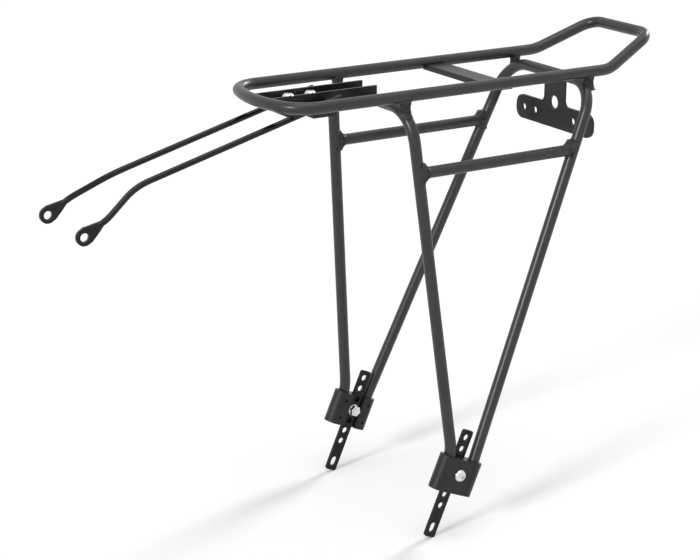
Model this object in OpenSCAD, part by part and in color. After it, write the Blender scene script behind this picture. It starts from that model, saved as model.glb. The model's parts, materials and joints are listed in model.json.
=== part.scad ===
// Rear luggage rack for a bicycle: a bent platform loop on two rod hoops,
// adjustable feet, adjustable front stays and a rear light bracket.
//
// +X points to the rear of the bicycle, -Y to its left and +Z up. The origin
// is midway between the slotted holes of the two feet, where the dropouts are.

/* [Frame rod] */
// Diameter of the solid rod that the frame is bent from
tube_d = 9; // [8:0.5:10]
// Bend radius of the hoop shoulders, on the tube's centre line
shoulder_r = 27; // [22:1:32]
// Bend radius of the legs where they enter the foot blocks
ankle_r = 40; // [30:1:50]

/* [Platform] */
// Height of the rails' centre line above the foot slots
rail_z = 343; // [320:1:380]
// Distance between the rails' centre lines
rail_gap = 97; // [85:1:115]
// Front of the loop, ahead of the foot slots
loop_front = 113.5; // [105:0.5:125]
// Corner radius at the front of the loop
loop_corner_r = 24; // [18:1:32]
// Half angle of the bowed front of the loop
loop_bow = 18; // [10:1:25]
// Where the rails start to rise, behind the foot slots
tail_start = 181; // [175:1:195]
// Length of the raised tail
tail_len = 50.5; // [40:0.5:65]
// Rise of the tail's end bar above the rails
tail_rise = 21.5; // [12:0.5:30]
// Width of the tail at its end, between centre lines
tail_w = 72; // [50:1:80]
// Bend radius where the tail leaves the rails
tail_root_r = 30; // [24:1:45]
// Bend radius at the ends of the tail's end bar
tail_corner_r = 15; // [12:1:24]
// Where the ends of the bent loop meet, ahead of the foot slots
seam_ahead = 7; // [4:1:10]

/* [Hoops] */
// Drop of the side rails below the platform rails, centre to centre
side_rail_drop = 57.4; // [50:0.2:85]
// Distance between the side rails' centre lines
side_rail_gap = 120.5; // [112:0.5:130]
// Lean of the rear legs and of the foot bars, top to the rear
leg_lean = 23.6; // [20:0.2:26]
// Front leg's centre line ahead of the foot slots, at the side rail's height
front_leg_ahead = 7.4; // [2:0.2:14]
// Drop of the front hoop's cross rod below the rails, centre to centre
front_cross_drop = 10.5; // [9:0.5:12]
// Drop of the rear hoop's cross rod below the rails, centre to centre
rear_cross_drop = 8.5; // [8:0.5:12]

/* [Feet] */
// Distance between the foot bars' centre planes
foot_gap = 151; // [140:1:160]
// Width of a foot bar
bar_w = 10; // [9:0.5:12]
// Thickness of a foot bar
bar_t = 2.5; // [2:0.25:3]
// Diameter of the round holes in a foot bar
bar_hole_d = 5.3; // [5.2:0.1:6]
// Pitch of the round holes
bar_pitch = 9.6; // [9:0.2:11]
// Number of round holes
bar_holes = 7; // [7:2:7]
// From the slot's centre to the lowest round hole
slot_to_hole = 18.7; // [15:0.1:22]
// Length of the slotted hole
slot_len = 8.2; // [7:0.2:10]
// Width of the slotted hole
slot_w = 5.5; // [5.2:0.1:6]
// From the top hole's centre to the top of the bar
bar_end = 6.2; // [5.5:0.1:9]
// From the slot's centre to the bottom of the bar
slot_end = 8; // [7.5:0.5:10]
// Height of a foot block, along the bar
block_h = 28; // [24:1:34]
// Screw axis below the middle of the block
block_screw_low = 1.3; // [0:0.1:3]
// Thickness of a foot block, from outer face to the lobes' inner faces
block_t = 14.4; // [13.8:0.2:16]
// Front leg's centre line ahead of the bar's, in the block
front_leg_off = 11.1; // [10.5:0.1:13]
// Rear leg's centre line behind the bar's, in the block
rear_leg_off = 12.9; // [12.5:0.1:15]
// Aluminium ahead of the front leg
nose_wall = 4.2; // [2:0.2:5]
// Aluminium under the bar, down to the block's outer face
web_t = 9.6; // [9:0.1:10.5]
// Diameter of the pins that lock the legs
pin_d = 2.6; // [1.6:0.2:3]
// Distance between the two pins of a leg
pin_gap = 15.4; // [12:0.4:18]
// Depth of the pins below the block's inner faces
pin_sunk = 1.2; // [0.4:0.1:1.6]

/* [Foot screws] */
// Thread diameter of the foot screws
foot_m = 5; // [5:0.1:5.1]
// Head diameter of the foot screws
foot_head_d = 10; // [9:0.5:10]
// Head height of the foot screws
foot_head_h = 3; // [2:0.1:3.5]
// Washer outside diameter
foot_washer_d = 9.6; // [9:0.2:10]
// Washer thickness
foot_washer_t = 1; // [0.6:0.1:1.4]
// Nut width across flats
foot_nut_af = 8; // [7:0.5:8.5]
// Nut height
foot_nut_h = 4; // [3:0.1:5]
// Screw end past the nut
foot_screw_past = 1.4; // [0.5:0.1:3]

/* [Middle strip] */
// Length of the strip across the platform, along the rack
strip_len = 17.5; // [12:0.5:25]
// Thickness of the strip
strip_t = 4.5; // [3:0.1:5]
// Strip's centre behind the foot slots
strip_x = 77.2; // [60:0.2:100]
// Strip's top below the rails' centre line
strip_top_drop = 0.8; // [0:0.1:2]

/* [Stay channel] */
// Outside width of the channel
channel_w = 22.7; // [21:0.1:26]
// Thickness of the channel's walls
channel_wall = 2; // [1.5:0.1:2.5]
// Thickness of the channel's floor
channel_floor = 2.5; // [1.5:0.1:3]
// Channel's underside below the rails' centre line
channel_drop = 6.5; // [6.3:0.1:7]
// Channel's wall tops above the rails' centre line
channel_rise = 1.7; // [1:0.1:4]
// Channel's rear end ahead of the front cross tube's centre line
channel_short = 1.5; // [0:0.1:2]

/* [Stays] */
// Diameter of the stay rods
rod_d = 4.6; // [4:0.1:5]
// Distance between the rods in the clamp
rod_gap = 40.8; // [38:0.2:46]
// Slope of the rods in the clamp
rod_slope = 14.9; // [12:0.1:17]
// Rod's centre line below the rails' centre line, at the clamp's middle
rod_drop = 8; // [7.6:0.1:9]
// Clamp's middle ahead of the foot slots
clamp_ahead = 75; // [70:0.5:80]
// Distance between the eyelets' centre planes
eyelet_gap = 64.6; // [55:0.2:75]
// Eyelets' centres ahead of the foot slots
eyelet_ahead = 266; // [255:1:280]
// Eyelets' centres below the rails' centre line
eyelet_drop = 73.5; // [65:0.5:80]
// Slope of the flat eyelets
eyelet_slope = 30; // [24:1:36]
// Diameter of the eyelet's hole
eyelet_hole_d = 6.4; // [5.2:0.1:6.6]
// Width of the flattened eyelet
eyelet_w = 12.5; // [11:0.5:13]
// Thickness of the flattened eyelet
eyelet_t = 2.4; // [1.6:0.2:3]
// From the eyelet's centre to the end of the flat
eyelet_neck = 4; // [3.5:0.5:8]
// Length of the flattened transition
neck_len = 12; // [8:0.5:15]
// Rod length between its two bends, along the rack
outset_len = 27; // [24:1:36]
// Rod's rear end behind the clamp's middle, along the rod
rod_tail = 24.7; // [22:0.1:30]

/* [Stay clamp] */
// Thread diameter of the clamp screws
clamp_m = 6; // [5:0.1:6]
// Distance between the clamp screws
clamp_pitch = 19; // [17:0.5:21]
// Gap between the clamp's halves
clamp_split = 0.6; // [0.4:0.1:1]
// Width of the clamp across the rods
clamp_w = 52; // [50:0.5:58]
// Clamp's front face ahead of its middle
clamp_front = 19; // [18:0.5:22]
// Clamp's rear face behind its middle
clamp_rear = 17; // [16:0.5:20]
// Length of the upper half's grip on the rods
top_grip = 10; // [8:0.5:11]
// Length of the lower half's grip on the rods
low_grip = 20; // [14:0.5:20]
// Flat underside of the clamp below the rails' centre line
clamp_drop = 13.6; // [13.2:0.1:15]
// Width of the clamp's middle, under the channel
clamp_mid_w = 22; // [16:0.5:22]
// Clamp screw's head diameter
clamp_head_d = 10.5; // [9:0.5:11]
// Clamp screw's head height
clamp_head_h = 4.8; // [3:0.1:5]
// Clamp washer's outside diameter
clamp_washer_d = 12; // [11:0.5:13]
// Clamp washer's thickness
clamp_washer_t = 1.2; // [0.8:0.1:1.6]
// Clamp screw's end below the clamp
clamp_screw_past = 0.8; // [0.4:0.1:2]

/* [Light bracket] */
// Thickness of the bracket
bracket_t = 2.5; // [2:0.25:3]
// Width of the bracket
bracket_w = 100; // [92:1:110]
// Height of the bracket's bar
bracket_bar_h = 19.8; // [16:0.2:24]
// Hole line below the rails' centre line
bracket_hole_drop = 45.4; // [42:0.2:52]
// Width of the bracket's tab
tab_w = 26; // [22:1:32]
// Corner radius of the bar
bracket_corner_r = 8; // [5:0.5:8]
// Radius between the tab and the bar
tab_root_r = 5; // [3:0.5:6]
// Distance between the inner light holes
light_inner = 50; // [50:1:54]
// Distance between the outer light holes
light_outer = 80; // [76:1:80]
// Diameter of the light holes
light_hole_d = 6; // [5:0.1:6.6]
// Diameter of the cable hole
cable_hole_d = 11; // [8:0.5:12]
// Cable hole above the light holes
cable_hole_rise = 11.3; // [10.5:0.1:13]

/* [Hidden] */
$fn = 48;

left = -1;
right = 1;
sides = [left, right];

powder = [0.16, 0.16, 0.17];
gloss = [0.04, 0.04, 0.045];
zinc = [0.75, 0.76, 0.78];

fit = 0.1;         // running gap between a foot bar and its channel
rod_fit = 0.05;    // running gap between a rod and its groove
hole_fit = 0.15;   // gap around a screw in a hole, on the radius
lap = 0.3;         // how far a straight runs into a bend
swell = 0.04;      // how much fuller a bend is than its straights, on the diameter
past = 1;          // how far a cutting solid runs past the solid it cuts
wide = 400;        // size of a half space

tube_r = tube_d / 2;
rail_y = rail_gap / 2;
side_y = side_rail_gap / 2;
front_cross_z = rail_z - front_cross_drop;
rear_cross_z = rail_z - rear_cross_drop;
side_rail_z = rail_z - side_rail_drop;

// The foot: distances along the bar are from the slotted hole, up the bar.
screw_up = slot_to_hole + (bar_holes - 1) / 2 * bar_pitch;
bar_top = slot_to_hole + (bar_holes - 1) * bar_pitch + bar_end;
block_top = screw_up - block_screw_low + block_h / 2;
block_low = block_top - block_h;
bar_out = bar_t / 2;                      // bar's outer face from its centre plane
block_out = bar_out + fit + web_t;        // block's outer face from the same plane
block_in = block_out - block_t;           // lobes' inner faces, negative towards the wheel
leg_out = block_out - block_t / 2;        // legs' centre lines in the block
ankle_y = foot_gap / 2 + leg_out;
leg_end_up = block_low + 1.5;             // a leg ends just inside the block

// Directions in the side view: up a foot bar, and square to it to the rear
up_bar = [sin(leg_lean), 0, cos(leg_lean)];
off_bar = [cos(leg_lean), 0, -sin(leg_lean)];

function on_foot(off, up, y) = off * off_bar + up * up_bar + [0, y, 0];
function unit(v) = v / norm(v);

// The legs' splay: half gap lost for each millimetre of height
ankle_z = on_foot(0, block_top, 0).z + ankle_r * tan(leg_lean / 4);
splay = (ankle_y - side_y) / (side_rail_z - ankle_z);
function leg_y(z) = side_y + splay * (side_rail_z - z);

// Front leg in the side view: x for a height, on a straight line through the
// side rail's end and the ankle
front_ankle_up = block_top + 2;
front_ankle = on_foot(-front_leg_off, front_ankle_up, 0);
front_rake = (-front_leg_ahead - front_ankle.x) / (side_rail_z - front_ankle.z);
function front_x(z) = front_ankle.x + front_rake * (z - front_ankle.z);
function rear_x(z) = (rear_leg_off + z * sin(leg_lean)) / cos(leg_lean);

rear_ankle = on_foot(rear_leg_off, block_top + 2, 0);

function mirror_path(half) = concat(half, [for (i = [len(half) - 1 : -1 : 0])
                                           [half[i].x, -half[i].y, half[i].z]]);
function hoop_half(off, ankle, shoulder_x, cross_z) = [
    on_foot(off, leg_end_up, ankle_y),
    [ankle.x, ankle_y, ankle.z],
    [shoulder_x, leg_y(cross_z), cross_z]];
front_path = mirror_path(hoop_half(-front_leg_off, front_ankle, front_x(front_cross_z), front_cross_z));
rear_path = mirror_path(hoop_half(rear_leg_off, rear_ankle, rear_x(rear_cross_z), rear_cross_z));
hoop_radii = [0, ankle_r, shoulder_r, shoulder_r, ankle_r, 0];
front_cross_x = front_x(front_cross_z);
rear_cross_x = rear_x(rear_cross_z);

// The loop's bowed front: two corner arcs and one large arc between them
bow_r = loop_corner_r + (rail_y - loop_corner_r) / sin(loop_bow);
corner_x = -loop_front + bow_r - (bow_r - loop_corner_r) * cos(loop_bow);
tail_end = tail_start + tail_len;
tail_half = [[tail_start, rail_y, rail_z], [tail_end, tail_w / 2, rail_z + tail_rise]];
tail_path = concat([[corner_x, rail_y, rail_z]], mirror_path(tail_half),
                   [[corner_x, -rail_y, rail_z]]);
tail_radii = [0, tail_root_r, tail_corner_r, tail_corner_r, tail_root_r, 0];

// The stays, in a frame at the clamp's middle with +X up the rods
clamp_mid = [-clamp_ahead, 0, rail_z - rod_drop];
rod_y = rod_gap / 2;
rod_r = rod_d / 2;
groove_r = rod_r + rod_fit;
channel_bottom = rail_z - channel_drop;
channel_deck = channel_bottom + channel_floor;
channel_rear = front_cross_x - channel_short;
clamp_base = rail_z - clamp_drop;
clamp_screw_x = [for (s = sides) -clamp_ahead + s * clamp_pitch / 2];

// ---------------------------------------------------------------- helpers

// Places +Z of the children on the line from a to b
module along(a, b) {
    v = b - a;
    translate(a) rotate([0, acos(v.z / norm(v)), atan2(v.y, v.x)]) children();
}

// Round bar from a to b
module bar_between(a, b, d) {
    along(a, b) cylinder(h = norm(b - a), d = d);
}

function heading(p, i) = unit(p[i + 1] - p[i]);
function turn(p, i) = acos(heading(p, i - 1) * heading(p, i));
function setback(p, r, i) = i == 0 || i == len(p) - 1 ? 0 : r[i] * tan(turn(p, i) / 2);

// Puts the children at the centre of the bend at the path's corner i, with +Z
// square to the bend and the bend itself starting on +X
module at_bend(p, r, i) {
    a = heading(p, i - 1);
    n = unit(cross(a, heading(p, i)));
    c = cross(n, a);
    m = p[i] - a * setback(p, r, i) + c * r[i];
    multmatrix([[-c.x, a.x, n.x, m.x], [-c.y, a.y, n.y, m.y], [-c.z, a.z, n.z, m.z], [0, 0, 0, 1]])
        children();
}

// Piece of ring that carries the path round its corner i
module corner(p, r, i, d) {
    at_bend(p, r, i) rotate_extrude(angle = turn(p, i)) translate([r[i], 0]) circle(d = d);
}

// Round bar along the path p, with bend radius r[i] at its point i, run past
// both ends by extra
module bent_bar(p, r, d, extra = 0) {
    last = len(p) - 1;
    for (i = [0 : last - 1]) {
        h = heading(p, i);
        bar_between(p[i] + h * (i == 0 ? -extra : setback(p, r, i) - lap),
                    p[i + 1] - h * (i == last - 1 ? -extra : setback(p, r, i + 1) - lap), d);
    }
    for (i = [1 : last - 1]) corner(p, r, i, d + swell);
}

// Puts the children on the right foot: X square to the bar to the rear, Y outwards
// from the bar's centre plane, Z up the bar, from the slotted hole
module foot_frame() {
    translate([0, foot_gap / 2, 0]) rotate([0, leg_lean, 0]) children();
}

// Puts the children in the clamp's frame: X up the rods, Z square to them
module clamp_frame() {
    translate(clamp_mid) rotate([0, -rod_slope, 0]) children();
}

module at_clamp_screws() {
    for (x = clamp_screw_x) translate([x, 0, 0]) children();
}

// Cylinder along +Y from y0 to y1
module y_pin(y0, y1, d) {
    translate([0, y0, 0]) rotate([-90, 0, 0]) cylinder(h = y1 - y0, d = d);
}

module hexagon(af) { circle(d = af / cos(30), $fn = 6); }

// Button head with a hexagon socket, its flat side at z = 0 and its dome up
module button_head(d, h, socket_af, socket_deep) {
    ball_r = (d * d / 4 + h * h) / (2 * h);
    difference() {
        intersection() {
            translate([0, 0, h - ball_r]) sphere(r = ball_r);
            cylinder(h = h, d = d);
        }
        translate([0, 0, h - socket_deep]) linear_extrude(h) hexagon(socket_af);
    }
}

// ---------------------------------------------------------------- platform

// One bent rod, with a fine groove where its ends are butted
module platform_loop() {
    groove = 0.3;
    bow_lap = lap / bow_r * 180 / PI;
    color(powder) difference() {
        union() {
            bent_bar(tail_path, tail_radii, tube_d, lap);
            for (s = sides) translate([corner_x, s * (rail_y - loop_corner_r), rail_z])
                rotate([0, 0, s == right ? 90 : 180 + loop_bow])
                    rotate_extrude(angle = 90 - loop_bow)
                        translate([loop_corner_r, 0]) circle(d = tube_d + swell);
            loop_bow_bar(loop_bow + bow_lap);
        }
        translate([-seam_ahead, rail_y, rail_z]) rotate([0, 90, 0]) difference() {
            cylinder(h = groove, d = tube_d + 2 * past);
            translate([0, 0, -past]) cylinder(h = groove + 2 * past, d = tube_d - 2 * groove);
        }
    }
}

// The large arc at the loop's front, out to an angle on both sides
module loop_bow_bar(half) {
    translate([-loop_front + bow_r, 0, rail_z]) rotate([0, 0, 180 - half])
        rotate_extrude(angle = 2 * half) translate([bow_r, 0]) circle(d = tube_d);
}

// A rail's straight length, for what is cut to seat on it
module rail_bar(side) {
    bar_between([corner_x, side * rail_y, rail_z], [tail_start - past, side * rail_y, rail_z], tube_d);
}

// The right rail with the tail's bend and arm, for what is cut to seat on them
module rail_and_tail() {
    bent_bar([tail_path[0], tail_path[1], tail_path[2]], [0, tail_root_r, 0], tube_d);
}

module front_hoop() { color(powder) bent_bar(front_path, hoop_radii, tube_d); }
module rear_hoop() { color(powder) bent_bar(rear_path, hoop_radii, tube_d); }

// The right-hand straight lengths of both legs, for what is cut to seat on them
module leg_bars() {
    for (p = [front_path, rear_path]) bar_between(p[1], p[2], tube_d);
}

// A hoop's lower end on the right, for what is cut to seat on it
module leg_end(p) {
    low = p[0] - heading(p, 0) * block_h / 4;
    bent_bar([low, p[1], p[2]], [0, ankle_r, 0], tube_d);
}

module on_side(side) {
    mirror([0, side == left ? 1 : 0, 0]) children();
}

// Straight rod between the legs, its ends cut to seat on them
module side_rail_bar() {
    bar_between([front_x(side_rail_z), side_y, side_rail_z], [rear_x(side_rail_z), side_y, side_rail_z], tube_d);
}

// Concave flare of weld metal round a side rail's end, in the plane of the legs
module side_rail_flare() {
    flare_len = 5.5;
    flare_h = 4;
    reach = tube_r + flare_len;
    flare_r = tube_r + flare_h;
    hollow_r = 6;
    sunk = 0.1;
    slab = tube_d - 0.8;
    rotate([-atan(splay), 0, 0]) intersection() {
        rotate([0, 90, 0]) rotate_extrude() difference() {
            square([flare_r, reach]);
            translate([tube_r - sunk + hollow_r, reach]) circle(r = hollow_r);
        }
        translate([-past, -slab / 2, -flare_r - past]) cube([reach + 2 * past, slab, 2 * flare_r + 2 * past]);
    }
}

module side_rail(side) {
    color(powder) on_side(side) difference() {
        union() {
            side_rail_bar();
            translate([front_x(side_rail_z), side_y, side_rail_z]) side_rail_flare();
            translate([rear_x(side_rail_z), side_y, side_rail_z]) mirror([1, 0, 0]) side_rail_flare();
        }
        leg_bars();
    }
}

module centre_strip() {
    color(powder) difference() {
        translate([strip_x - strip_len / 2, -rail_y, rail_z - strip_top_drop - strip_t])
            cube([strip_len, rail_gap, strip_t]);
        for (s = sides) rail_bar(s);
    }
}

// ---------------------------------------------------------------- welds

neck_r = tube_r - 0.8;
weld_top = rail_z - tube_r / 3;
weld_hollow_r = 10;
function weld_low(cross_z) = cross_z - tube_r - 1;
function weld_mid(cross_z) = (weld_top + weld_low(cross_z)) / 2;

// A waisted post under the right rail, on the shoulder of the hoop of path p
module rail_weld(x, p, cross_z) {
    slab = tube_d - 0.4;
    low_slab = tube_d - 1.4;
    flare = neck_r + weld_hollow_r;
    half_h = (weld_top - weld_low(cross_z)) / 2;
    mid_z = weld_mid(cross_z);
    difference() {
        translate([x, rail_y, 0]) intersection() {
            translate([0, 0, mid_z]) rotate_extrude() difference() {
                translate([0, -half_h]) square([flare, 2 * half_h]);
                translate([flare, 0]) circle(r = weld_hollow_r);
            }
            union() {
                translate([-wide / 2, -slab / 2, mid_z]) cube([wide, slab, wide]);
                translate([-low_slab / 2, -wide / 2, mid_z - wide]) cube([low_slab, wide, wide]);
            }
        }
        corner(p, hoop_radii, 2, tube_d + swell);
        at_bend(p, hoop_radii, 2) cylinder(h = wide, r = hoop_radii[2], center = true);
        rail_and_tail();
    }
}

module rail_welds() {
    color(powder) for (s = sides) on_side(s) {
        rail_weld(front_x(weld_mid(front_cross_z)), front_path, front_cross_z);
        rail_weld(rear_x(weld_mid(rear_cross_z)), rear_path, rear_cross_z);
    }
}

// Fillet between two edges that meet at [0, 0] and leave at the angles a0 and a1
module fillet_2d(a0, a1, r) {
    half = (a1 - a0) / 2;
    reach = r / tan(half);
    mid = (a0 + a1) / 2;
    c = r / sin(half) * [cos(mid), sin(mid)];
    difference() {
        polygon([[0, 0], reach * [cos(a0), sin(a0)], c, reach * [cos(a1), sin(a1)]]);
        translate(c) circle(r = r);
    }
}

// ---------------------------------------------------------------- light bracket

bracket_x = rear_cross_x + tube_r;
bracket_z = rail_z - bracket_hole_drop;
tab_top = rear_cross_z + tube_r / 2;

module rounded_2d(w, h, r) {
    for (x = [-1, 1], y = [-1, 1]) translate([x * (w / 2 - r), y * (h / 2 - r)]) circle(r = r);
    square([w - 2 * r, h], center = true);
    square([w, h - 2 * r], center = true);
}

module bracket_2d() {
    tab_h = tab_top - bracket_z;
    bar_top_y = bracket_bar_h / 2;
    tab_corner_r = 3;
    difference() {
        union() {
            rounded_2d(bracket_w, bracket_bar_h, bracket_corner_r);
            translate([-tab_w / 2, 0]) square([tab_w, tab_h - tab_corner_r]);
            translate([-tab_w / 2 + tab_corner_r, 0]) square([tab_w - 2 * tab_corner_r, tab_h]);
            for (s = sides) translate([s * (tab_w / 2 - tab_corner_r), tab_h - tab_corner_r])
                circle(r = tab_corner_r);
            translate([tab_w / 2, bar_top_y]) fillet_2d(0, 90, tab_root_r);
            translate([-tab_w / 2, bar_top_y]) fillet_2d(90, 180, tab_root_r);
        }
        for (gap = [light_inner, light_outer], s = sides)
            translate([s * gap / 2, 0]) circle(d = light_hole_d);
        translate([0, cable_hole_rise]) circle(d = cable_hole_d);
    }
}

// Flat plate against the back of the rear cross tube
module light_bracket() {
    color(powder) translate([bracket_x, 0, bracket_z]) rotate([90, 0, 90])
        linear_extrude(bracket_t) bracket_2d();
}

// Weld beads between the tab and the cross tube, below and above their touch
module bracket_welds() {
    bead_inset = 2.5;
    bead_w = tab_w - 2 * bead_inset;
    low = 3.6;
    high = tab_top - rear_cross_z;
    color(powder) translate([rear_cross_x, bead_w / 2, rear_cross_z]) rotate([90, 0, 0])
        linear_extrude(bead_w) difference() {
            polygon([[tube_r, -low], [tube_r, high], [tube_r - 1.2, high + 0.8],
                     [tube_r - 2.6, 0], [tube_r - 2.2, -low]]);
            circle(d = tube_d);
        }
}

// ---------------------------------------------------------------- stays

// Open channel from the loop's front to the front cross tube
module stay_channel() {
    front = -loop_front + tube_r * 0.8;
    height = channel_rise + channel_drop;
    color(powder) difference() {
        translate([front, -channel_w / 2, channel_bottom])
            cube([channel_rear - front, channel_w, height]);
        translate([front - past, -channel_w / 2 + channel_wall, channel_deck])
            cube([channel_rear - front + 2 * past, channel_w - 2 * channel_wall, height]);
        at_clamp_screws() translate([0, 0, channel_bottom - past])
            cylinder(h = channel_floor + 2 * past, d = clamp_m + 2 * hole_fit);
        loop_bow_bar(loop_bow);
        bar_between(front_path[2], front_path[3], tube_d);
    }
}

module rods_bar(d) {
    clamp_frame() for (s = sides)
        translate([-wide / 4, s * rod_y, 0]) rotate([0, 90, 0]) cylinder(h = wide / 2, d = d);
}

module clamp_screw_holes(d) {
    at_clamp_screws() translate([0, 0, clamp_base - past]) cylinder(h = wide / 10, d = d);
}

// Half space on one side of the clamp's split: up = 1 above it, -1 below it
module split_side(up) {
    clamp_frame() translate([-wide / 2, -wide / 2, up > 0 ? clamp_split / 2 : -wide - clamp_split / 2])
        cube(wide);
}

// Block on the clamp's flat underside, from x0 to x1 off the clamp's middle
module clamp_block(x0, x1, w, top) {
    translate([clamp_mid.x + x0, -w / 2, clamp_base]) cube([x1 - x0, w, top - clamp_base]);
}

// Space that the channel takes, with room on its sides
module channel_space() {
    room = 0.3;
    translate([-wide, -channel_w / 2 - room, channel_bottom])
        cube([2 * wide, channel_w + 2 * room, wide]);
}

// The middle of the upper half stops short of where it would run out to an edge
top_rear = (channel_bottom - clamp_mid.z - clamp_split - 0.4) / tan(rod_slope);
split_rise = clamp_rear * tan(rod_slope);   // split's height at the rear face

// Upper half: a wedge under the channel that grips the rods at the front
module stay_clamp_top() {
    color(powder) difference() {
        intersection() {
            union() {
                clamp_block(-clamp_front, top_grip - clamp_front, clamp_w, channel_bottom);
                clamp_block(-clamp_front, top_rear, clamp_mid_w, channel_bottom);
            }
            split_side(1);
        }
        rods_bar(2 * groove_r);
        clamp_screw_holes(clamp_m + 2 * hole_fit);
    }
}

// Lower half: grips the rods from below at the rear, and is tapped for both screws
module stay_clamp_bottom() {
    high = clamp_mid.z + split_rise + past;
    color(powder) difference() {
        intersection() {
            union() {
                clamp_block(clamp_rear - low_grip, clamp_rear, clamp_w, high);
                clamp_block(-clamp_pitch / 2 - clamp_m, clamp_rear, clamp_mid_w, high);
            }
            split_side(-1);
        }
        channel_space();
        rods_bar(2 * groove_r);
        clamp_screw_holes(clamp_m);
    }
}

module stay_clamp_screws() {
    socket_af = 4;
    head_z = channel_deck + clamp_washer_t;
    end_z = clamp_base - clamp_screw_past;
    color(zinc) at_clamp_screws() {
        translate([0, 0, head_z]) button_head(clamp_head_d, clamp_head_h, socket_af, clamp_head_h * 0.6);
        translate([0, 0, end_z]) cylinder(h = head_z - end_z, d = clamp_m);
    }
}

module stay_clamp_washers() {
    color(zinc) at_clamp_screws() translate([0, 0, channel_deck]) difference() {
        cylinder(h = clamp_washer_t, d = clamp_washer_d);
        translate([0, 0, -past]) cylinder(h = clamp_washer_t + 2 * past, d = clamp_m + 2 * hole_fit);
    }
}

// A stay's path for the right side: rear end, two bends, start of the flat
rod_dir = [cos(rod_slope), 0, sin(rod_slope)];
eye_dir = [-cos(eyelet_slope), 0, -sin(eyelet_slope)];
eye = [-eyelet_ahead, eyelet_gap / 2, rail_z - eyelet_drop];
outset_lead = 5.5;   // straight rod before the flat, taken up by the outer bend
outer_bend = eye - eye_dir * (eyelet_neck + neck_len + outset_lead);
inner_x = outer_bend.x + outset_len;
inner_bend = [inner_x, rod_y, clamp_mid.z + (inner_x - clamp_mid.x) * tan(rod_slope)];
rod_end = [clamp_mid.x, rod_y, clamp_mid.z] + rod_dir * rod_tail;
neck_start = eye - eye_dir * (eyelet_neck + neck_len - 2 * lap);
stay_path = [rod_end, inner_bend, outer_bend, neck_start];
inset_r = 50;
outset_r = 24;
stay_radii = [0, inset_r, outset_r, 0];

// Where the round rod is pressed flat: a widening cone, cut by two planes that
// close from the rod's diameter to the eyelet's thickness
module stay_neck() {
    flat_in = 0.6;
    full = neck_len + flat_in;
    root_r = rod_r - swell;
    root_t = rod_r + swell;
    intersection() {
        translate([eyelet_neck - flat_in, 0, 0]) rotate([0, 90, 0])
            cylinder(h = full, r1 = eyelet_w / 2, r2 = root_r);
        linear_extrude(2 * eyelet_w, center = true)
            polygon([[eyelet_neck - flat_in, -eyelet_t / 2], [eyelet_neck, -eyelet_t / 2],
                     [eyelet_neck + full, -root_t], [eyelet_neck + full, root_t],
                     [eyelet_neck, eyelet_t / 2], [eyelet_neck - flat_in, eyelet_t / 2]]);
    }
}

// Bent rod with its end pressed flat and drilled
module stay(side) {
    color(gloss) on_side(side) {
        bent_bar(stay_path, stay_radii, rod_d);
        translate(eye) rotate([0, -eyelet_slope, 0]) {
            difference() {
                union() {
                    y_pin(-eyelet_t / 2, eyelet_t / 2, eyelet_w);
                    translate([0, -eyelet_t / 2, -eyelet_w / 2]) cube([eyelet_neck, eyelet_t, eyelet_w]);
                }
                y_pin(-eyelet_t, eyelet_t, eyelet_hole_d);
            }
            stay_neck();
        }
    }
}
module stay_left() { stay(left); }
module stay_right() { stay(right); }

// ---------------------------------------------------------------- feet

// Outline of a foot block across its height, with X to the rear and Y outwards
module block_2d() {
    mid = (block_out + block_in) / 2;
    round_r = block_t / 2;
    front_end = -front_leg_off - tube_r - nose_wall + round_r;
    rear_end = rear_leg_off;
    side_room = 0.3;
    channel_front = bar_w / 2 + side_room;
    channel_back = rear_leg_off - tube_r - 1.5;
    groove = 0.9;
    difference() {
        union() {
            for (x = [front_end, rear_end]) translate([x, mid]) circle(r = round_r);
            translate([front_end, block_in]) square([rear_end - front_end, block_t]);
        }
        translate([-channel_front, block_in - past])
            square([channel_front + channel_back, block_t - web_t + past]);
        translate([rear_leg_off - tube_r + 2, block_out]) rotate(45) square(groove, center = true);
    }
}

module leg_pins_2d() {
    for (x = [-front_leg_off, rear_leg_off], up = [-1, 1])
        translate([x, (block_top + block_low) / 2 + up * pin_gap / 2]) children();
}

module foot_block(side) {
    color(powder) on_side(side) difference() {
        foot_frame() difference() {
            translate([0, 0, block_low]) linear_extrude(block_h) block_2d();
            translate([0, 0, screw_up]) y_pin(-wide / 4, wide / 4, foot_m + 2 * hole_fit);
            rotate([90, 0, 0]) leg_pins_2d() translate([0, 0, -leg_out]) cylinder(h = wide / 4, d = pin_d);
        }
        leg_end(front_path);
        leg_end(rear_path);
    }
}
module foot_block_left() { foot_block(left); }
module foot_block_right() { foot_block(right); }

// Pins driven through the block's inner wall onto the legs, just below flush
module leg_pins(side) {
    color(powder) on_side(side) difference() {
        foot_frame() rotate([90, 0, 0]) leg_pins_2d()
            translate([0, 0, -leg_out]) cylinder(h = leg_out - block_in - pin_sunk, d = pin_d);
        leg_end(front_path);
        leg_end(rear_path);
    }
}
module leg_pins_left() { leg_pins(left); }
module leg_pins_right() { leg_pins(right); }

// Flat bar with a row of holes for the height and a slot for the dropout
module foot_bar(side) {
    corner_r = 2;
    length = bar_top + slot_end;
    color(powder) on_side(side) foot_frame() rotate([90, 0, 0])
        linear_extrude(bar_t, center = true) difference() {
            translate([0, length / 2 - slot_end]) rounded_2d(bar_w, length, corner_r);
            for (i = [0 : bar_holes - 1])
                translate([0, slot_to_hole + i * bar_pitch]) circle(d = bar_hole_d);
            for (s = [-1, 1]) translate([0, s * (slot_len - slot_w) / 2]) circle(d = slot_w);
            square([slot_w, slot_len - slot_w], center = true);
        }
}
module foot_bar_left() { foot_bar(left); }
module foot_bar_right() { foot_bar(right); }

washer_y = -bar_t / 2 - fit;
nut_y = washer_y - foot_washer_t;
screw_end_y = nut_y - foot_nut_h - foot_screw_past;

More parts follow.
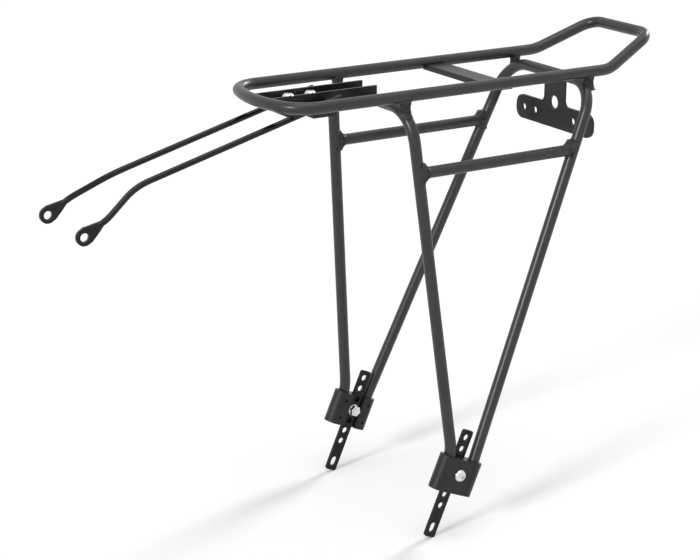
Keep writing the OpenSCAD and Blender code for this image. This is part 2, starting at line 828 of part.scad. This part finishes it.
module at_foot_screws() {
    for (s = sides) on_side(s) foot_frame() translate([0, 0, screw_up]) children();
}

module foot_screws() {
    socket_af = 3;
    color(zinc) at_foot_screws() {
        translate([0, block_out, 0]) rotate([-90, 0, 0])
            button_head(foot_head_d, foot_head_h, socket_af, foot_head_h * 0.65);
        y_pin(screw_end_y, block_out, foot_m);
    }
}

module foot_washers() {
    color(zinc) at_foot_screws() difference() {
        y_pin(nut_y, washer_y, foot_washer_d);
        y_pin(nut_y - past, washer_y + past, foot_m + 2 * hole_fit);
    }
}

module foot_nuts() {
    color(zinc) at_foot_screws() difference() {
        translate([0, nut_y, 0]) rotate([90, 0, 0]) linear_extrude(foot_nut_h) hexagon(foot_nut_af);
        y_pin(nut_y - foot_nut_h - past, nut_y + past, foot_m);
    }
}

platform_loop();
front_hoop();
rear_hoop();
side_rail(left);  // side_rail_left
side_rail(right);  // side_rail_right
centre_strip();
rail_welds();
stay_channel();
light_bracket();
bracket_welds();
stay_clamp_top();
stay_clamp_bottom();
stay_clamp_screws();
stay_clamp_washers();
stay_left();
stay_right();
foot_block_left();
foot_block_right();
leg_pins_left();
leg_pins_right();
foot_bar_left();
foot_bar_right();
foot_screws();
foot_washers();
foot_nuts();
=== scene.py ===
# Rear luggage rack for a bicycle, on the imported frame.
# Metres. +X points to the rear, -Y to the left, +Z up.
import json
import math

import bpy
from mathutils import Matrix, Vector


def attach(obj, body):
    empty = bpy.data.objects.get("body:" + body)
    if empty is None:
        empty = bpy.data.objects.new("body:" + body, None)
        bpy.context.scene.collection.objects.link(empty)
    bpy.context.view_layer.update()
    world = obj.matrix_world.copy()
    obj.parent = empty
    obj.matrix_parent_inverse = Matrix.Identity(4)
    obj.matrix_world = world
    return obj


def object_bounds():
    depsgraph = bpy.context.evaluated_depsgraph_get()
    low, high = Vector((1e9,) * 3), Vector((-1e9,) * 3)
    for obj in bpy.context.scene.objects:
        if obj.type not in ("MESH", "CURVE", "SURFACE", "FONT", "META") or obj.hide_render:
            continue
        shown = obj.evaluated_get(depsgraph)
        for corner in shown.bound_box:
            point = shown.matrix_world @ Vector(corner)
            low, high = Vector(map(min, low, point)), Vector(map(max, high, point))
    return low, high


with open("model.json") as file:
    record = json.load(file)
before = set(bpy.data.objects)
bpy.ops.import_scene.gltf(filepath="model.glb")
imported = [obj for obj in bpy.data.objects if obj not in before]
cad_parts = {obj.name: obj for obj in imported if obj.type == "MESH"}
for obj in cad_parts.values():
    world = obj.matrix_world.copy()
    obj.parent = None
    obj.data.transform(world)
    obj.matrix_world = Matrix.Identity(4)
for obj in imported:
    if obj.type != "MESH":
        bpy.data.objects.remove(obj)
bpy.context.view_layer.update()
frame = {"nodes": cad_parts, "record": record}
NODES = frame["nodes"]
SLOTS = {part["node"]: part["material_slot"] for part in frame["record"]["subparts"]}

# ------------------------------------------------------------ sizes of the rack
ROD_R = 0.0045
SPLAY = 0.084                    # the legs' slope inwards on the way up, y over z
SIDE_RAIL_Z = 0.2856             # the side rails' axes
SIDE_RAIL_Y = 0.06025

# The legs lean in the X-Z plane. A rake is x over z.
REAR_LEG_LEAN = math.radians(23.6)
REAR_LEG_OFFSET = 0.0129         # from the origin to the leg's line, square to it
REAR_RAKE = math.tan(REAR_LEG_LEAN)
FRONT_RAKE = -0.0987

# Where a leg's axis passes the side rail.
FRONT_END_X = -0.0074
REAR_END_X = (REAR_LEG_OFFSET + SIDE_RAIL_Z * math.sin(REAR_LEG_LEAN)) / math.cos(REAR_LEG_LEAN)

# The welded posts between the platform's rails and the hoops: x, and height of the middle.
FRONT_POST = (-0.0122, 0.33425)
REAR_POST = (0.1605, 0.33525)
POST_Y = 0.0485


# ------------------------------------------------------------ materials
def node_material(name):
    """An empty material with a shader, and the coordinates that move with the piece."""
    mat = bpy.data.materials.new(name)
    mat.use_nodes = True
    tree = mat.node_tree
    tree.nodes.clear()
    out = tree.nodes.new("ShaderNodeOutputMaterial")
    shader = tree.nodes.new("ShaderNodeBsdfPrincipled")
    tree.links.new(shader.outputs["BSDF"], out.inputs["Surface"])
    coords = tree.nodes.new("ShaderNodeTexCoord")
    return mat, tree, shader, coords.outputs["Object"]


def noise(tree, coords, scale, detail=3.0):
    node = tree.nodes.new("ShaderNodeTexNoise")
    node.inputs["Scale"].default_value = scale
    node.inputs["Detail"].default_value = detail
    node.inputs["Roughness"].default_value = 0.55
    tree.links.new(coords, node.inputs["Vector"])
    return node.outputs["Fac"]


def colour_between(tree, value, dark, light, margin):
    """A colour that runs from dark to light, flat within the margin at either end."""
    node = tree.nodes.new("ShaderNodeValToRGB")
    low, high = node.color_ramp.elements
    low.position = margin
    low.color = (*dark, 1)
    high.position = 1 - margin
    high.color = (*light, 1)
    tree.links.new(value, node.inputs["Fac"])
    return node.outputs["Color"]


def value_between(tree, value, low, high):
    node = tree.nodes.new("ShaderNodeMapRange")
    node.inputs["To Min"].default_value = low
    node.inputs["To Max"].default_value = high
    tree.links.new(value, node.inputs["Value"])
    return node.outputs["Result"]


def bump(tree, value, shader, distance, strength):
    node = tree.nodes.new("ShaderNodeBump")
    node.inputs["Distance"].default_value = distance
    node.inputs["Strength"].default_value = strength
    tree.links.new(value, node.inputs["Height"])
    tree.links.new(node.outputs["Normal"], shader.inputs["Normal"])


def near_black(level):
    """Black with a trace of blue."""
    return (level, level, level + 0.001)


def powder_coat(name, dark, light, roughness, texture, shine):
    mat, tree, shader, coords = node_material(name)
    cloud = noise(tree, coords, 60.0)
    grain = noise(tree, coords, 2600.0, 2.0)
    colour = colour_between(tree, cloud, near_black(dark), near_black(light), 0.35)
    tree.links.new(colour, shader.inputs["Base Color"])
    tree.links.new(value_between(tree, cloud, *roughness), shader.inputs["Roughness"])
    shader.inputs["Specular IOR Level"].default_value = shine
    bump(tree, grain, shader, 0.00008, texture)
    return mat


def gloss_black(name, roughness, shine):
    mat, tree, shader, coords = node_material(name)
    cloud = noise(tree, coords, 45.0)
    colour = colour_between(tree, cloud, near_black(0.004), near_black(0.008), 0.35)
    tree.links.new(colour, shader.inputs["Base Color"])
    tree.links.new(value_between(tree, cloud, *roughness), shader.inputs["Roughness"])
    shader.inputs["Specular IOR Level"].default_value = shine
    return mat


def bright_zinc(name):
    mat, tree, shader, coords = node_material(name)
    cloud = noise(tree, coords, 220.0)
    fine = noise(tree, coords, 1500.0, 2.0)
    colour = colour_between(tree, cloud, (0.62, 0.63, 0.65), (0.80, 0.80, 0.81), 0.3)
    tree.links.new(colour, shader.inputs["Base Color"])
    tree.links.new(value_between(tree, cloud, 0.18, 0.28), shader.inputs["Roughness"])
    shader.inputs["Metallic"].default_value = 1.0
    bump(tree, fine, shader, 0.00003, 0.2)
    return mat


FRAME_COAT = powder_coat("satin powder coat", dark=0.012, light=0.018,
                         roughness=(0.30, 0.40), texture=0.25, shine=0.52)
PLATE_COAT = powder_coat("satin coat on plate", dark=0.009, light=0.014,
                         roughness=(0.34, 0.44), texture=0.35, shine=0.28)
BLOCK_COAT = powder_coat("block coat", dark=0.010, light=0.015,
                         roughness=(0.36, 0.46), texture=0.4, shine=0.32)
WELD_COAT = powder_coat("coat over weld", dark=0.010, light=0.016,
                        roughness=(0.34, 0.46), texture=0.6, shine=0.42)
STAY_COAT = gloss_black("gloss black", roughness=(0.10, 0.15), shine=0.28)
BAR_COAT = gloss_black("gloss black on bars", roughness=(0.24, 0.32), shine=0.22)
ZINC = bright_zinc("bright zinc")

COAT_OF_NODE = {
    "light_bracket": PLATE_COAT,
    "stay_channel": PLATE_COAT,
    "centre_strip": PLATE_COAT,
    "foot_bar_left": BAR_COAT,
    "foot_bar_right": BAR_COAT,
    "foot_block_left": BLOCK_COAT,
    "foot_block_right": BLOCK_COAT,
    "leg_pins_left": BLOCK_COAT,
    "leg_pins_right": BLOCK_COAT,
    "stay_clamp_top": BLOCK_COAT,
    "stay_clamp_bottom": BLOCK_COAT,
    "rail_welds": WELD_COAT,
    "bracket_welds": WELD_COAT,
}
COAT_OF_SLOT = {
    "frame_coat": FRAME_COAT,
    "stay_coat": STAY_COAT,
    "bright_zinc": ZINC,
}

for node, obj in NODES.items():
    obj.data.materials.clear()
    obj.data.materials.append(COAT_OF_NODE.get(node) or COAT_OF_SLOT[SLOTS[node]])


# ------------------------------------------------------------ weld scales
# Small overlapping scales of weld metal, half sunk in the welds they lie on.
SCALE_R = 0.0009

# A side rail's flare: a hollow curve that widens towards the leg, cut flat on both sides.
FLARE_NECK_R = ROD_R - 0.0001
FLARE_HOLLOW_R = 0.006
FLARE_END = 0.010                # from the leg's axis to where the flare ends
FLARE_FLAT = 0.0041              # from the flare's axis to a flat side
FLARE_RINGS = ((0.0054, 24), (0.0066, 22), (0.0078, 20))    # from the leg's axis, scales
FLARE_SUNK = 0.0005

# The rows of scales up each side of the leg, beside the flare.
ROW_TURN = math.radians(64)      # round the leg, from its outer side
ROW_PITCH = 0.0011
ROW_HALF = 7                     # scales above the middle one, and below it

# A post between rail and hoop: a waist in a hollow curve, cut flat on both sides.
POST_WAIST_R = 0.0037
POST_HOLLOW_R = 0.010
POST_FLAT = 0.0043
POST_RINGS = (-0.0034, -0.0021, -0.0008, 0.0005, 0.0018, 0.0031)    # from the middle
POST_RING_SCALES = 20
POST_SUNK = 0.00035


def clip(value, most):
    return max(-most, min(most, value))


def hollow_curve(narrow_r, hollow_r, along):
    """The radius of a hollow curve, this far along from its narrowest place."""
    return narrow_r + hollow_r - math.sqrt(hollow_r ** 2 - along ** 2)


def flare_scales(base, side, facing):
    """Rings round a side rail's flare. Facing is 1 where the rail runs to the rear."""
    tilt = math.atan(SPLAY)
    points = []
    for out, count in FLARE_RINGS:
        flare_r = hollow_curve(FLARE_NECK_R, FLARE_HOLLOW_R, FLARE_END - out)
        for i in range(count):
            a = 2 * math.pi * i / count
            half_width = max(FLARE_FLAT, ROD_R * abs(math.cos(a)))
            y = clip(flare_r * math.cos(a), half_width) * (1 - FLARE_SUNK / flare_r)
            z = (flare_r - FLARE_SUNK) * math.sin(a)
            points.append(base + Vector((facing * out,
                                         side * (y * math.cos(tilt) + z * math.sin(tilt)),
                                         z * math.cos(tilt) - y * math.sin(tilt))))
    return points


def leg_scales(base, rake, side, facing):
    """A row up the leg on each side of the flare."""
    leg = Vector((rake, -SPLAY * side, 1.0)).normalized()
    outward = Vector((0.0, 1.0, 0.0))
    outward = (outward - leg * outward.dot(leg)).normalized()
    ahead = outward.cross(leg) * facing
    points = []
    for turn in (-ROW_TURN, ROW_TURN):
        on_leg = (ahead * math.cos(turn) + outward * math.sin(turn)) * ROD_R
        for i in range(-ROW_HALF, ROW_HALF + 1):
            points.append(base + leg * (i * ROW_PITCH) + on_leg)
    return points


def rail_end_scales(end_x, rake, side, facing):
    base = Vector((end_x, side * SIDE_RAIL_Y, SIDE_RAIL_Z))
    return flare_scales(base, side, facing) + leg_scales(base, rake, side, facing)


def post_scales(x, mid_z, side):
    """Rings round a post. Those above its middle are turned by half a scale."""
    points = []
    for up in POST_RINGS:
        ring_r = hollow_curve(POST_WAIST_R, POST_HOLLOW_R, up) - POST_SUNK
        for i in range(POST_RING_SCALES):
            a = 2 * math.pi * (i + (up > 0) * 0.5) / POST_RING_SCALES
            points.append(Vector((x + ring_r * math.cos(a),
                                  side * POST_Y + clip(ring_r * math.sin(a), POST_FLAT),
                                  mid_z + up)))
    return points


def scale_group():
    """A node tree that puts a small ball of weld metal at each point."""
    group = bpy.data.node_groups.new("weld scales", "GeometryNodeTree")
    face = group.interface
    face.new_socket("Geometry", in_out="INPUT", socket_type="NodeSocketGeometry")
    face.new_socket("Scale size", in_out="INPUT", socket_type="NodeSocketFloat")
    face.new_socket("Material", in_out="INPUT", socket_type="NodeSocketMaterial")
    face.new_socket("Geometry", in_out="OUTPUT", socket_type="NodeSocketGeometry")
    new = group.nodes.new
    given = new("NodeGroupInput")
    result = new("NodeGroupOutput")
    ball = new("GeometryNodeMeshIcoSphere")
    ball.inputs["Subdivisions"].default_value = 1
    placed = new("GeometryNodeInstanceOnPoints")
    real = new("GeometryNodeRealizeInstances")
    smooth = new("GeometryNodeSetShadeSmooth")
    coated = new("GeometryNodeSetMaterial")
    link = group.links.new
    link(given.outputs["Geometry"], placed.inputs["Points"])
    link(given.outputs["Scale size"], ball.inputs["Radius"])
    link(given.outputs["Material"], coated.inputs["Material"])
    link(ball.outputs["Mesh"], placed.inputs["Instance"])
    link(placed.outputs["Instances"], real.inputs["Geometry"])
    link(real.outputs["Geometry"], smooth.inputs["Geometry"])
    link(smooth.outputs["Geometry"], coated.inputs["Geometry"])
    link(coated.outputs["Geometry"], result.inputs["Geometry"])
    return group


SCALE_GROUP = scale_group()
SCALE_INPUTS = {"Scale size": SCALE_R, "Material": WELD_COAT}


def weld_scales(name, points):
    """A piece with a scale at each point, made a plain mesh."""
    seed = bpy.data.meshes.new(name + " points")
    seed.from_pydata([tuple(point) for point in points], [], [])
    maker = bpy.data.objects.new(name + " maker", seed)
    bpy.context.scene.collection.objects.link(maker)
    modifier = maker.modifiers.new("scales", "NODES")
    modifier.node_group = SCALE_GROUP
    for item in SCALE_GROUP.interface.items_tree:
        if item.in_out == "INPUT" and item.name in SCALE_INPUTS:
            modifier[item.identifier] = SCALE_INPUTS[item.name]
    bpy.context.view_layer.update()
    graph = bpy.context.evaluated_depsgraph_get()
    mesh = bpy.data.meshes.new_from_object(maker.evaluated_get(graph))
    bpy.data.objects.remove(maker)
    mesh.materials.clear()
    mesh.materials.append(WELD_COAT)
    piece = bpy.data.objects.new(name, mesh)
    bpy.context.scene.collection.objects.link(piece)
    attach(piece, "rack_frame")


for side, word in ((-1, "left"), (1, "right")):
    weld_scales("front_rail_weld_scales_" + word, rail_end_scales(FRONT_END_X, FRONT_RAKE, side, 1))
    weld_scales("rear_rail_weld_scales_" + word, rail_end_scales(REAR_END_X, REAR_RAKE, side, -1))
    weld_scales("front_post_weld_scales_" + word, post_scales(*FRONT_POST, side))
    weld_scales("rear_post_weld_scales_" + word, post_scales(*REAR_POST, side))


# ------------------------------------------------------------ floor, light and camera
# A ray that sees the background straight, mirrored or through.
SEEING_RAYS = ("Is Camera Ray", "Is Glossy Ray", "Is Transmission Ray")

FLOOR_HALF = 8.0
FLOOR_GREY = 0.955
FLOOR_PALE = 0.965
FLOOR_LIFT = 0.07                # white added for the seeing rays, which clears faint shadows

# Levels are shares of a plain white floor: overhead, two sides and fill come to 1.02.
OVERHEAD_LEVEL = 0.30
SIDE_LEVEL = 0.22                # each of two
FILL_LEVEL = 0.28
OVERHEAD_SPREAD_DEG = 46
SIDE_SPREAD_DEG = 12
LAMP_FAR = 2.0

CAMERA_PLACE = (-0.74349, -1.1552, 0.63606)
CAMERA_BACK = (-0.499, -0.808, 0.3125)
CAMERA_ACROSS = (0.851, -0.525, 0.0)
CAMERA_ROLL_DEG = 0.15
LENS_MM = 93.87
SENSOR_MM = 36.0


def floor_paint():
    mat, tree, shader, coords = node_material("pale floor")
    cloud = noise(tree, coords, 3.0)
    colour = colour_between(tree, cloud, (FLOOR_GREY,) * 3, (FLOOR_PALE,) * 3, 0.3)
    tree.links.new(colour, shader.inputs["Base Color"])
    shader.inputs["Roughness"].default_value = 0.9
    shader.inputs["Specular IOR Level"].default_value = 0.1
    path = tree.nodes.new("ShaderNodeLightPath")
    seen = path.outputs[SEEING_RAYS[0]]
    for ray in SEEING_RAYS[1:]:
        either = tree.nodes.new("ShaderNodeMath")
        either.operation = "MAXIMUM"
        tree.links.new(seen, either.inputs[0])
        tree.links.new(path.outputs[ray], either.inputs[1])
        seen = either.outputs["Value"]
    lift = tree.nodes.new("ShaderNodeMath")
    lift.operation = "MULTIPLY"
    lift.inputs[1].default_value = FLOOR_LIFT
    tree.links.new(seen, lift.inputs[0])
    shader.inputs["Emission Color"].default_value = (1.0, 1.0, 1.0, 1.0)
    tree.links.new(lift.outputs["Value"], shader.inputs["Emission Strength"])
    return mat


def plain_floor():
    """A level floor that the foot bars stand on at rest."""
    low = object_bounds()[0][2]
    corners = [(x * FLOOR_HALF, y * FLOOR_HALF, low) for x, y in ((-1, -1), (1, -1), (1, 1), (-1, 1))]
    mesh = bpy.data.meshes.new("floor")
    mesh.from_pydata(corners, [], [(0, 1, 2, 3)])
    mesh.materials.append(floor_paint())
    floor = bpy.data.objects.new("floor", mesh)
    bpy.context.scene.collection.objects.link(floor)


def soft_sun(name, towards, spread_deg, level):
    """A far, soft light that shines towards a direction and gives the floor this level."""
    aim = Vector(towards).normalized()
    data = bpy.data.lights.new(name, "SUN")
    data.angle = math.radians(spread_deg)
    data.energy = level * math.pi / -aim.z
    lamp = bpy.data.objects.new(name, data)
    lamp.location = -LAMP_FAR * aim
    lamp.rotation_euler = aim.to_track_quat("-Z", "Y").to_euler()
    bpy.context.scene.collection.objects.link(lamp)


def backdrop(tree, strength):
    node = tree.nodes.new("ShaderNodeBackground")
    node.inputs["Color"].default_value = (1.0, 1.0, 1.0, 1.0)
    node.inputs["Strength"].default_value = strength
    return node.outputs["Background"]


def studio_world():
    """The fill light, and a plain white for the seeing rays."""
    world = bpy.data.worlds.new("studio")
    bpy.context.scene.world = world
    world.use_nodes = True
    tree = world.node_tree
    tree.nodes.clear()
    path = tree.nodes.new("ShaderNodeLightPath")
    light = backdrop(tree, FILL_LEVEL)
    for ray in SEEING_RAYS:
        mix = tree.nodes.new("ShaderNodeMixShader")
        tree.links.new(path.outputs[ray], mix.inputs["Fac"])
        tree.links.new(light, mix.inputs[1])
        tree.links.new(backdrop(tree, 1.0), mix.inputs[2])
        light = mix.outputs["Shader"]
    out = tree.nodes.new("ShaderNodeOutputWorld")
    tree.links.new(light, out.inputs["Surface"])


def studio_camera():
    data = bpy.data.cameras.new("camera")
    data.lens = LENS_MM
    data.sensor_width = SENSOR_MM
    data.clip_start = 0.05
    data.clip_end = 50.0
    camera = bpy.data.objects.new("camera", data)
    bpy.context.scene.collection.objects.link(camera)
    back = Vector(CAMERA_BACK).normalized()
    across = Vector(CAMERA_ACROSS)
    across = (across - back * across.dot(back)).normalized()
    upward = back.cross(across)
    level = Matrix((across, upward, back)).transposed()
    turn = level @ Matrix.Rotation(math.radians(CAMERA_ROLL_DEG), 3, "Z")
    camera.matrix_world = Matrix.Translation(CAMERA_PLACE) @ turn.to_4x4()
    bpy.context.scene.camera = camera


plain_floor()
soft_sun("overhead soft light", (0.05, 0.12, -1.0), OVERHEAD_SPREAD_DEG, OVERHEAD_LEVEL)
soft_sun("front soft light", (0.96, 0.28, -0.50), SIDE_SPREAD_DEG, SIDE_LEVEL)
soft_sun("rear soft light", (-0.96, -0.28, -0.50), SIDE_SPREAD_DEG, SIDE_LEVEL)
studio_world()
studio_camera()
bpy.context.scene.view_settings.view_transform = "Standard"
